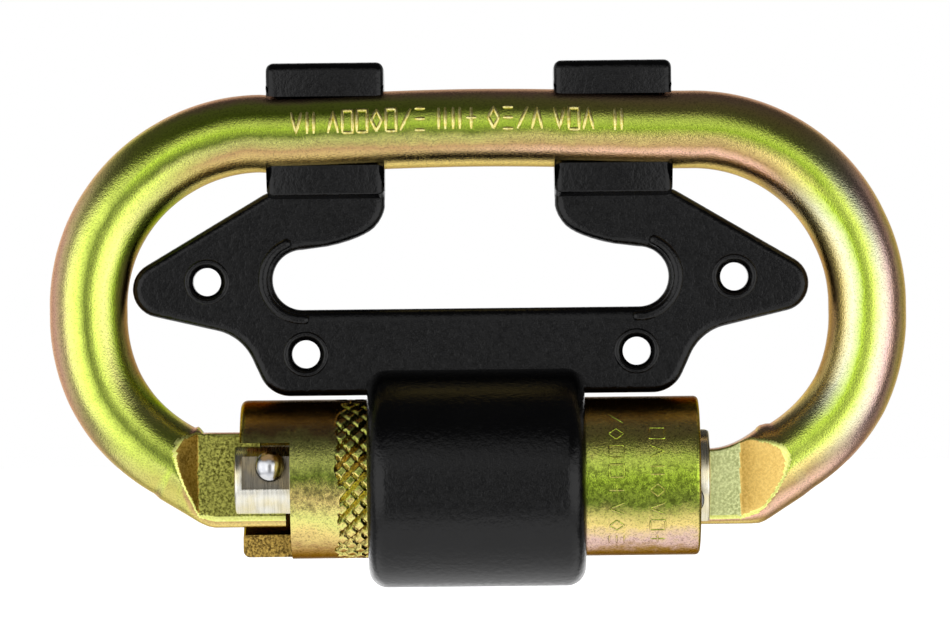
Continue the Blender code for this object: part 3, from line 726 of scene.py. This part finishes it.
def make_frame(*finishes):
    """Takes finishes for the bar, the nose's flat and facet, the hinge's flat and facet, and their rims,
    whose finish is a painted highlight.
    """
    around = 120
    rim_blend = 0.30 * MM  # how widely the rims of the flats and facets are rounded
    angles = np.linspace(0, 2 * math.pi, around, endpoint=False)
    cosine, sine = np.cos(angles), np.sin(angles)
    rings = []
    for inner, outer, square in frame_stations():
        inner, outer = np.array(inner), np.array(outer)
        middle, half = (inner + outer) / 2, (inner - outer) / 2
        power = np.where(cosine > 0, 2 + 4.5 * square, 2 + 1.3 * square)
        along = np.sign(cosine) * np.abs(cosine) ** (2 / power)
        wide = BAR_R * (1 - 0.40 * square)
        y = np.sign(sine) * wide * np.abs(sine) ** (2 / power)
        x = middle[0] + half[0] * along
        z = middle[1] + half[1] * along
        y = np.sign(y) * soft_least(np.abs(y), facet_limit(x, z), rim_blend)
        rings.append(np.stack([x, y, z], 1))
    obj = loft("forged_frame", rings)

    reach = 5 * MM
    notch_r = 1.3 * MM
    tools = [rod("hook_round", notch_r, (LATCH_X, -reach, LATCH_Z), (LATCH_X, reach, LATCH_Z))]
    high = NOSE_TOP_Z + MM
    tools.append(box("hook_mouth", (LATCH_X - notch_r, -reach, LATCH_Z), (LATCH_X + notch_r, reach, high)))
    tools.append(box("claw_top", (LATCH_X, -reach, LATCH_Z + 0.2 * MM), (NOSE_TIP_X + MM, reach, high)))
    tools.append(rod("rivet_hole", RIVET_HOLE_R, (PIVOT_X, -reach, PIVOT_Z), (PIVOT_X, reach, PIVOT_Z)))
    obj = boolean(obj, "DIFFERENCE", tools)
    finish_piece(obj, "frame", "zinc_yellow", "frame", *finishes)
    for face in obj.data.polygons:
        x, y, z = face.center
        sunk = float(facet_limit(np.array(x), np.array(z))) - abs(y)
        if z > MIDDLE_Z - 10 * MM or sunk > 0.8 * rim_blend:
            continue
        # Faces on the rounded rims take the sixth finish, a bright painted highlight.
        if sunk > 0.15 * rim_blend:
            face.material_index = 5
        elif x < 0:
            face.material_index = 1 if x > NOSE_FLAT_X else 2
        else:
            face.material_index = 3 if x < HINGE_FLAT_X else 4
    smooth(obj, 40)


# ---------------------------------------------------------------- gate, pins and sleeve


def make_gate(material, milled):
    step = 0.4 * MM
    profile = [(GATE_LOW.x, 0.2 * MM), (GATE_LOW.x, GATE_R - step)]
    profile += arc((GATE_LOW.x + step, GATE_R - step), step, 180, 90, 4)
    profile += [(FLANGE_X, GATE_R), (FLANGE_X, FLANGE_R)]
    profile += arc((GATE_HIGH.x - step, FLANGE_R - step), step, 90, 0, 4)
    profile += [(GATE_HIGH.x, 3.0 * MM), (GATE_HIGH.x - 0.05 * MM, 0.2 * MM)]
    gate = turned("turned_gate", profile, 96, GATE_Z, closed=False)
    far = 9 * MM
    low, high = GATE_Z - far, GATE_Z + far
    nose_slot = box("nose_slot", (GATE_LOW.x - MM, -SLOT_HALF, low), (NOSE_SLOT_X, SLOT_HALF, high))
    hinge_slot = box("hinge_slot", (HINGE_SLOT_X, -SLOT_HALF, low), (GATE_HIGH.x + MM, SLOT_HALF, high))
    ear_from, ear_to = (GATE_LOW.x + MM, -far, GATE_Z + EAR_LEDGE), (NOSE_SLOT_X, EAR_FACE_Y, high)
    tools = [
        nose_slot,
        hinge_slot,
        box("ear_flat", ear_from, ear_to),
        rod("plunger_bore", PLUNGER_BORE_R, (3 * MM, 0, GATE_Z), (HINGE_SLOT_X + MM, 0, GATE_Z)),
        rod("rivet_hole", RIVET_HOLE_R, (PIVOT_X, -far, PIVOT_Z), (PIVOT_X, far, PIVOT_Z)),
        rod("pin_hole", 1.1 * MM, (LATCH_X, -far, LATCH_Z), (LATCH_X, far, LATCH_Z)),
    ]
    gate = boolean(gate, "DIFFERENCE", tools)
    finish_piece(gate, "gate", "gate_silver", "gate_body", material, milled)
    # The milled ear face takes the dark copy of the turned steel: painted shade for its recess under the
    # sleeve.
    for face in gate.data.polygons:
        if face.center.x < NOSE_SLOT_X and abs(face.center.y - EAR_FACE_Y) < 0.02 * MM:
            face.material_index = 1
    smooth(gate, 30)


def make_latch_pin(material):
    radius = 2.0 * MM
    depth = 1.5 * MM
    centre_y = LATCH_LOW.y + depth
    dome = arc((centre_y, 0), radius, 178, 90, 20)
    profile = [(centre_y + (y - centre_y) * depth / radius, r) for y, r in dome]
    profile += [(centre_y + 0.25 * MM, radius), (centre_y + 0.25 * MM, 1.0 * MM)]
    profile += [(LATCH_HIGH.y - 0.2 * MM, 1.0 * MM), (LATCH_HIGH.y, 0.8 * MM), (LATCH_HIGH.y, 0.05 * MM)]
    pin = turned("latch_pin_dome", profile, 64, 0.0, closed=False)
    pin.data.transform(Matrix.Translation((LATCH_X, 0, LATCH_Z)) @ Matrix.Rotation(math.radians(90), 4, "Z"))
    face_out(pin)
    finish_piece(pin, "gate", "pin_chrome", "latch_pin", material)
    smooth(pin, 40)


def knurled(x, radii, angles):
    """Cuts two sets of crossed spiral grooves into the outside of the knurled band."""
    if not KNURL_FROM <= x <= KNURL_TO or radii[0] < SLEEVE_R - 0.5 * MM:
        return radii
    turn = angles * KNURL_COUNT / (2 * math.pi)
    along = (x - KNURL_FROM) / KNURL_AXIAL
    first = np.clip(np.abs((turn + along) % 1 - 0.5) / 0.25, 0, 1)
    second = np.clip(np.abs((turn - along) % 1 - 0.5) / 0.19, 0, 1)
    land = np.minimum(first, 0.35 + 0.65 * second)
    start = KNURL_FROM + 0.45 * MM * (1 + np.sin(angles * 7) * np.cos(angles * 3))
    fade = np.clip((x - start) / (0.3 * MM), 0, 1)
    return radii - KNURL_DEPTH * fade * (1 - land)


def make_sleeve(material, cut):
    edge = 0.85 * MM
    lip = 0.25 * MM
    profile = [(SLEEVE_FROM, MOUTH_R + lip)]
    profile += arc((SLEEVE_FROM + edge, SLEEVE_R - edge), edge, 180, 90, 6)
    profile += [(x, SLEEVE_R) for x in np.linspace(SLEEVE_FROM + 1.6 * MM, KNURL_FROM, 14)]
    profile += [(x, SLEEVE_R) for x in np.arange(KNURL_FROM, KNURL_TO, 0.11 * MM)[1:]]
    profile += [(KNURL_TO + 0.05 * MM, SLEEVE_R)]
    profile += [(x, SLEEVE_R) for x in np.linspace(KNURL_TO + MM, SLEEVE_TO - 1.6 * MM, 24)]
    profile += arc((SLEEVE_TO - edge * 0.7, SLEEVE_R - edge * 0.7), edge * 0.7, 90, 0, 6)
    profile += [(SLEEVE_TO, POCKET_R + lip), (SLEEVE_TO - lip, POCKET_R), (POCKET_X, POCKET_R)]
    profile += [(POCKET_X, SLEEVE_BORE_R), (MOUTH_X, SLEEVE_BORE_R), (MOUTH_X, MOUTH_R)]
    profile += [(SLEEVE_FROM + lip, MOUTH_R)]
    sleeve = turned("knurled_sleeve", profile, KNURL_COUNT * 16, GATE_Z, radius_at=knurled)

    far = 18 * MM
    top = GATE_Z + NOTCH_RISE
    outline = [(NOTCH_BACK_Y, top), (-far, top), (-far, GATE_Z - far), (NOTCH_BACK_Y, GATE_Z - far)]
    length = NOTCH_X - SLEEVE_FROM + 2 * MM
    cutter = prism("notch", outline, length / 2, NOTCH_X - length / 2)
    sleeve = boolean(sleeve, "DIFFERENCE", [cutter])
    finish_piece(sleeve, "sleeve", "zinc_yellow", "lock_sleeve", material, cut)
    for face in sleeve.data.polygons:
        if face.center.x < NOTCH_X + 0.01 * MM and abs(face.center.y - NOTCH_BACK_Y) < 0.02 * MM:
            face.material_index = 1
    smooth(sleeve, 32)


# ---------------------------------------------------------------- marks


def mark_strokes(name, strokes, radius, body, material, slot="zinc_yellow", resolution=2):
    """Raised strokes, each a wire along its points that thins at its ends."""
    curve = bpy.data.curves.new(name, "CURVE")
    curve.dimensions = "3D"
    curve.bevel_depth = radius
    curve.bevel_resolution = resolution
    curve.use_fill_caps = True
    for points in strokes:
        spline = curve.splines.new("POLY")
        spline.points.add(len(points) - 1)
        for i, (target, point) in enumerate(zip(spline.points, points)):
            target.co = (*point, 1)
            target.radius = 0.55 if i in (0, len(points) - 1) else 1.0
    obj = bpy.data.objects.new(name, curve)
    bpy.context.scene.collection.objects.link(obj)
    obj = baked(obj)
    finish_piece(obj, body, slot, None, material)
    smooth(obj, 60)


def stroke_on(radius, axis_z, x_from, x_to, turn_from, turn_to, steps=5):
    """Points on a cylinder along X, turn being degrees up from the front."""
    points = []
    for i in range(steps + 1):
        x = x_from + (x_to - x_from) * i / steps
        turn = math.radians(turn_from + (turn_to - turn_from) * i / steps)
        points.append((x, -radius * math.cos(turn), axis_z + radius * math.sin(turn)))
    return points


# Plain signs, each a list of strokes through (across, up) points in a square
SIGNS = {
    "box": (((0, 0), (1, 0), (1, 1), (0, 1), (0, 0)),),
    "bars": (((0.15, 0), (0.15, 1)), ((0.8, 0), (0.8, 1))),
    "peak": (((0, 0), (0.5, 1), (1, 0)),),
    "dip": (((0, 1), (0.5, 0), (1, 1)),),
    "gem": (((0.5, 0), (1, 0.5), (0.5, 1), (0, 0.5), (0.5, 0)),),
    "steps": (((0, 0), (1, 0)), ((0, 0.5), (1, 0.5)), ((0, 1), (1, 1))),
    "plus": (((0.5, 0), (0.5, 1)), ((0, 0.5), (1, 0.5))),
    "slope": (((0, 0), (1, 1)),),
}
SPINE_SIGNS = "dip bars . peak box box gem box slope steps . bars bars plus . gem steps slope peak . "
SPINE_SIGNS += "dip box peak . . bars"
SLEEVE_SIGNS = (
    (16.4 * MM, 52, "slope gem box box plus dip gem steps"),
    (21.6 * MM, 38, "box peak bars gem dip box plus"),
)


def joined(lines):
    """One stroke from lines that each start where the last one ended."""
    path = lines[0]
    for line in lines[1:]:
        path = path + line[1:]
    return path


def make_marks(material, on_sleeve):
    """Raised signs along the spine and round the sleeve's plain end, in place of lettering."""
    wide = 1.30 * MM
    strokes = []
    x = -23.6 * MM
    for sign in SPINE_SIGNS.split():
        if sign == ".":
            x += 1.0 * MM
            continue
        for stroke in SIGNS[sign]:
            points = [(x + across * wide, up * 33 - 3) for across, up in stroke]
            lines = []
            for (start, turn), (end, next_turn) in zip(points, points[1:]):
                lines.append(stroke_on(BAR_R + 0.02 * MM, spine_z(start), start, end, turn, next_turn, 4))
            strokes.append(joined(lines))
        x += wide + 0.55 * MM
    mark_strokes("spine_marks", strokes, 0.26 * MM, "frame", material)
    tall = 1.9 * MM
    strokes = []
    for x, turn, signs in SLEEVE_SIGNS:
        for sign in signs.split():
            for stroke in SIGNS[sign]:
                points = [(x + up * tall, turn - across * 9) for across, up in stroke]
                lines = []
                for (start, turn_from), (end, turn_to) in zip(points, points[1:]):
                    lines.append(stroke_on(SLEEVE_R - 0.04 * MM, GATE_Z, start, end, turn_from, turn_to))
                strokes.append(joined(lines))
            turn -= 14
    mark_strokes("sleeve_marks", strokes, 0.14 * MM, "sleeve", on_sleeve)


# ---------------------------------------------------------------- the bracket


def plate_outline():
    """Half of the plate goes round from the slot's middle, and its mirror image closes it."""
    slot_r = (SLOT_HIGH_Z - SLOT_LOW_Z) / 2
    slot_end = SLOT_LENGTH_HALF - slot_r
    half = arc((slot_end, SLOT_LOW_Z + slot_r), slot_r, -90, 90, 30)
    top = NECK_Z + 0.9 * MM
    half += placed(PLATE_BEND) + [(CLIP_NEAR, top)]
    outer = [(CLIP_FAR, top, 0), (CLIP_FAR, MIDDLE_Z + 15.3 * MM, 0)]
    outer += [(CLIP_FAR + 0.6 * MM, MIDDLE_Z + 15.0 * MM, 0), (49.33 * MM, MIDDLE_Z + 1.58 * MM, 3.6 * MM)]
    outer += [(29.45 * MM, MIDDLE_Z - 3.05 * MM, 6.5 * MM), (25.9 * MM, PLATE_LOW_Z, 4.2 * MM)]
    ring = rounded([(0, NECK_Z, 0)] + outer + [(0, PLATE_LOW_Z, 0)], 14)
    right = half + ring[1:-1]
    left = [(-x, z) for x, z in reversed(right)]
    return [(x + BRACKET_X, z) for x, z in right + left]


def inset_directions(outline):
    """The direction inwards at each point of a closed outline, long enough to move both sides by one."""
    points = np.asarray(outline, float)
    along = np.roll(points, -1, 0) - points
    along /= np.hypot(*along.T)[:, None]
    inward = np.stack([-along[:, 1], along[:, 0]], 1)
    x, z = points.T
    if np.sum(x * np.roll(z, -1) - z * np.roll(x, -1)) < 0:
        inward = -inward
    both = inward + np.roll(inward, 1, 0)
    return both / np.maximum(0.5, (both * both).sum(1) / 2)[:, None]


def edge_width(x, z):
    """The plate's edges are rounded, and more widely round the ends of its slot."""
    near = abs(x - BRACKET_X)
    inside = blend(near, 17.5 * MM, 22 * MM) * blend(z, SLOT_LOW_Z - MM, SLOT_LOW_Z + MM)
    inside *= 1 - blend(near, 25.6 * MM, 26.5 * MM)
    inside *= 1 - blend(z, SLOT_HIGH_Z, SLOT_HIGH_Z + 0.8 * MM)
    return PLATE_EDGE + 1.0 * MM * inside


def rounded_plate(name, outline):
    points, inward = np.asarray(outline), inset_directions(outline)
    widths = np.array([edge_width(x, z) for x, z in outline])
    rings = []
    front = [(1.12, 0.0)] + [(1 - math.sin(a), 1 - math.cos(a)) for a in np.radians(np.linspace(0, 90, 7))]
    for side, steps in ((-1, front), (1, front[::-1])):
        for inset, rise in steps:
            moved = points + inward * (widths * inset)[:, None]
            y = side * (PLATE_HALF - np.minimum(widths, PLATE_EDGE) * rise)
            rings.append(np.stack([moved[:, 0], y, moved[:, 1]], 1))
    return loft(name, rings)


def make_bracket(material):
    plate = rounded_plate("bracket_plate", plate_outline())
    quarter_turn = Matrix.Rotation(math.radians(90), 4, "Z")
    tools, lips = [], []
    wide, half = HOLE_R + 0.45 * MM, PLATE_HALF
    hole = [(-half - MM, wide), (-half, wide), (-half + 0.5 * MM, HOLE_R), (half - 0.5 * MM, HOLE_R)]
    hole += [(half, wide), (half + MM, wide)]
    ring = []
    for angle in np.linspace(0, 2 * math.pi, 16, endpoint=False):
        y = -half + 0.25 * MM - 0.4 * MM * math.cos(angle)
        ring.append((y, wide + 0.34 * MM + 0.42 * MM * math.sin(angle)))
    for side in (-1, 1):
        for x, z in HOLES:
            place = Matrix.Translation((BRACKET_X + side * x, 0, z)) @ quarter_turn
            tools.append(turned("hole", hole, 64, 0.0, closed=False))
            lips.append(turned("hole_lip", ring, 64, 0.0))
            for piece in (tools[-1], lips[-1]):
                piece.data.transform(place)
                face_out(piece)
    plate = boolean(plate, "DIFFERENCE", tools)
    edge = COLLAR_EDGE
    bore_lip = 0.5 * MM
    profile = [(COLLAR_FROM, COLLAR_BORE_R + bore_lip)]
    profile += arc((COLLAR_FROM + edge, COLLAR_R - edge), edge, 180, 90, 10)
    profile += [(x, COLLAR_R) for x in np.linspace(COLLAR_FROM + edge, COLLAR_TO - edge, 16)[1:-1]]
    profile += arc((COLLAR_TO - edge, COLLAR_R - edge), edge, 90, 0, 10)
    profile += [(COLLAR_TO, COLLAR_BORE_R + bore_lip), (COLLAR_TO - bore_lip, COLLAR_BORE_R)]
    profile += [(COLLAR_FROM + bore_lip, COLLAR_BORE_R)]
    collar = turned("bracket_collar", profile, 128, GATE_Z)
    for obj in [plate, collar] + lips:
        finish_piece(obj, "bracket", "black_plastic", "bracket", material)
        smooth(obj, 32)
    slot_r = (SLOT_HIGH_Z - SLOT_LOW_Z) / 2
    bead_y = -PLATE_HALF + 0.50 * MM
    beads = []
    for side in (-1, 1):
        make_clip(side, material)
        path = arc((0, 0), slot_r + 1.25 * MM, -100, 74, 40)
        middle = BRACKET_X + side * (SLOT_LENGTH_HALF - slot_r)
        beads.append([(middle + side * x, bead_y, SLOT_LOW_Z + slot_r + z) for x, z in path])
    mark_strokes("slot_beads", beads, 0.78 * MM, "bracket", material, "black_plastic", 6)


def make_clip(side, material):
    """A clip that reaches round the spine from behind, with a roof lip, a sill lip and a neck."""
    spine_z = MIDDLE_Z + 23.05 * MM
    inner_r = BAR_R + 0.12 * MM
    top = MIDDLE_Z + 31.9 * MM
    back = 8.0 * MM
    profile = [(-2.4 * MM, top, 1.2 * MM), (back, top, 3.0 * MM), (back, MIDDLE_Z + 15.6 * MM, 3.0 * MM)]
    profile += [(1.7 * MM, MIDDLE_Z + 13.4 * MM, 0), (-1.6 * MM, MIDDLE_Z + 13.4 * MM, 0)]
    profile += [(-1.6 * MM, NECK_Z - 0.35 * MM, 0), (-2.7 * MM, NECK_Z + 0.35 * MM, 0.5 * MM)]
    outline = rounded(profile + [(-2.7 * MM, spine_z - 4.3 * MM, 0.4 * MM)], 6)
    outline += arc((0, spine_z), inner_r, -122, 118, 48)
    outline += [(-2.4 * MM, spine_z + 4.6 * MM)]
    points, inward = np.asarray(outline), inset_directions(outline)
    edge = 0.95 * MM
    turns = np.radians(np.linspace(0, 90, 6))
    near, far = BRACKET_X + side * CLIP_NEAR, BRACKET_X + side * CLIP_FAR
    low, high = min(near, far), max(near, far)
    stations = [(low + edge * (1 - math.cos(a)), edge * (1 - math.sin(a))) for a in turns]
    stations += [(high - edge * (1 - math.cos(a)), edge * (1 - math.sin(a))) for a in turns[::-1]]
    rings = []
    for x, inset in stations:
        moved = points + inward * inset
        rings.append(np.stack([np.full(len(moved), x), moved[:, 0], moved[:, 1]], 1))
    clip = loft("clip_left" if side < 0 else "clip_right", rings)
    finish_piece(clip, "bracket", "black_plastic", "bracket", material)
    smooth(clip, 32)


# ---------------------------------------------------------------- surroundings


def make_floor():
    """A plain pale floor, left out of reflections so that the studio's panels shape them."""
    size, low = 1.6, -60 * MM
    corners = [(-size, -size, low), (size, -size, low), (size, size, low), (-size, size, low)]
    floor = new_mesh_object("floor", corners, [(0, 1, 2, 3)])
    floor.data.materials.append(floor_material("floor_paper"))
    floor.visible_glossy = False


class Sky:
    """The studio round the object, as brightness by direction."""

    def __init__(self):
        world = bpy.data.worlds.new("studio")
        bpy.context.scene.world = world
        world.use_nodes = True
        self.tree = world.node_tree
        self.tree.nodes.clear()

    def node(self, kind, *values):
        node = self.tree.nodes.new(kind)
        for socket, value in zip(node.inputs, values):
            self.put(socket, value)
        return node

    def put(self, socket, value):
        if isinstance(value, bpy.types.NodeSocket):
            self.tree.links.new(value, socket)
        else:
            socket.default_value = value

    def calc(self, operation, *values):
        node = self.node("ShaderNodeMath", *values)
        node.operation = operation
        return node.outputs[0]

    def step(self, value, low, high):
        """0 below low and 1 above high, or the other way round if low is the greater."""
        node = self.node("ShaderNodeMapRange", value, min(low, high), max(low, high))
        node.interpolation_type = "SMOOTHSTEP"
        if low > high:
            self.put(node.inputs[3], 1.0)
            self.put(node.inputs[4], 0.0)
        return node.outputs[0]

    def all_of(self, *shares):
        result = shares[0]
        for share in shares[1:]:
            result = self.calc("MULTIPLY", result, share)
        return result


def make_studio():
    sky = Sky()
    direction = sky.node("ShaderNodeTexCoord").outputs["Generated"]
    x, y, z = sky.node("ShaderNodeSeparateXYZ", direction).outputs
    ahead = sky.calc("MULTIPLY", y, -1.0)
    aside = sky.calc("DEGREES", sky.calc("ARCTAN2", sky.calc("ABSOLUTE", x), ahead))
    rise = sky.calc("DEGREES", sky.calc("ARCSINE", z))
    level = sky.step(sky.calc("ABSOLUTE", rise), 46, 20)
    low = sky.step(rise, -46, -24)
    left_panel = sky.all_of(sky.step(x, 0.0, -0.05), low, sky.step(rise, 36, 14))
    right_panel = sky.all_of(sky.step(x, 0.0, 0.05), low, sky.step(rise, 28, 6))
    height = sky.calc("ADD", left_panel, right_panel)
    panels = sky.all_of(sky.step(aside, 3, 16), sky.step(aside, 90, 62), height)
    middle = sky.all_of(sky.step(aside, 16, 3), sky.step(sky.calc("ABSOLUTE", rise), 50, 30))
    upper = sky.all_of(sky.step(aside, 16, 6), sky.step(rise, 6, 16), sky.step(rise, 46, 34))
    table = sky.step(rise, -34, -46)
    low_strip = sky.all_of(table, sky.step(rise, -74, -62), sky.step(ahead, -0.1, 0.2))
    wall = sky.step(y, 0.70, 0.90)
    left_side = sky.all_of(sky.step(aside, 80, 100), sky.step(x, 0.0, -0.2), level)
    right_side = sky.all_of(sky.step(aside, 96, 108), sky.step(x, 0.0, 0.2), level)
    # Each part of the studio and how bright it is
    parts = ((panels, 1.75), (middle, 0.25), (low_strip, 0.15), (table, 1.15), (wall, 1.0))
    parts += ((left_side, 0.65), (right_side, 0.3), (upper, 0.45))
    light = 0.07  # all round, where no panel is
    for share, strength in parts:
        light = sky.calc("ADD", light, sky.calc("MULTIPLY", share, strength))
    seen = sky.node("ShaderNodeLightPath").outputs["Is Camera Ray"]
    mix = sky.node("ShaderNodeMix", seen)
    sky.put(mix.inputs[2], light)
    sky.put(mix.inputs[3], 1.0)
    background = sky.node("ShaderNodeBackground", (1, 1, 1, 1), mix.outputs[0])
    sky.node("ShaderNodeOutputWorld", background.outputs[0])
    bpy.context.scene.view_settings.view_transform = "Standard"


make_camera()
make_floor()
make_studio()
zinc_round = zinc("zinc_round")
nose_flat = milled_zinc("zinc_nose_flat", (0.05, 0.045, 0.006), (0.46, 0.46, 0.10), 0.8)
nose_facet = milled_zinc("zinc_nose_facet", (0.22, 0.14, 0.02), (0.52, 0.36, 0.08), 0.4)
hinge_flat = milled_zinc("zinc_hinge_flat", (0.40, 0.44, 0.16), (0.84, 0.88, 0.44), 0.45)
hinge_facet = milled_zinc("zinc_hinge_facet", (0.50, 0.32, 0.08), (0.78, 0.56, 0.18), 0.3)
# The rims' bright yellow is a painted highlight along the rounded edges of the flats and facets.
zinc_rim_painted_highlight = milled_zinc("zinc_rim_painted_highlight", (0.70, 0.74, 0.16), (0.92, 0.94, 0.34), 0.2)
zinc_sleeve = sleeve_zinc("zinc_sleeve")
zinc_cut = milled_zinc("zinc_cut", (0.07, 0.04, 0.01), (0.62, 0.42, 0.10), 0.8)
stamped = milled_zinc("zinc_stamped", (0.62, 0.52, 0.10), (0.95, 0.88, 0.42), 0.3)
silver = turned_steel("gate_turned", (0.80, 0.78, 0.70), (0.80, 0.72, 0.48), 0.24)
# A darker copy of the gate's turned steel, painted shade for the milled ear face in its recess.
ear_steel_painted_shade = turned_steel("gate_ear_painted_shade", (0.22, 0.20, 0.16), (0.34, 0.28, 0.17), 0.30)
steel = turned_steel("pin_steel", (0.62, 0.62, 0.61), (0.55, 0.54, 0.52), 0.30)
spring = turned_steel("spring_wire", (0.44, 0.44, 0.46), (0.36, 0.35, 0.34), 0.32)
dome = chrome("pin_chrome")
plastic = moulded_plastic("black_moulding")
make_frame(zinc_round, nose_flat, nose_facet, hinge_flat, hinge_facet, zinc_rim_painted_highlight)
make_gate(silver, ear_steel_painted_shade)
make_latch_pin(dome)
make_sleeve(zinc_sleeve, zinc_cut)
make_marks(stamped, zinc_sleeve)
make_bracket(plastic)
inner_finish = {"hinge_pin": steel, "gate_plunger": steel, "sleeve_end_ring": steel}
inner_finish.update({"sleeve_stop_pin": steel, "gate_spring": spring, "sleeve_spring": spring})
for node, material in inner_finish.items():
    for material_slot in frame["nodes"][node].material_slots:
        material_slot.material = material
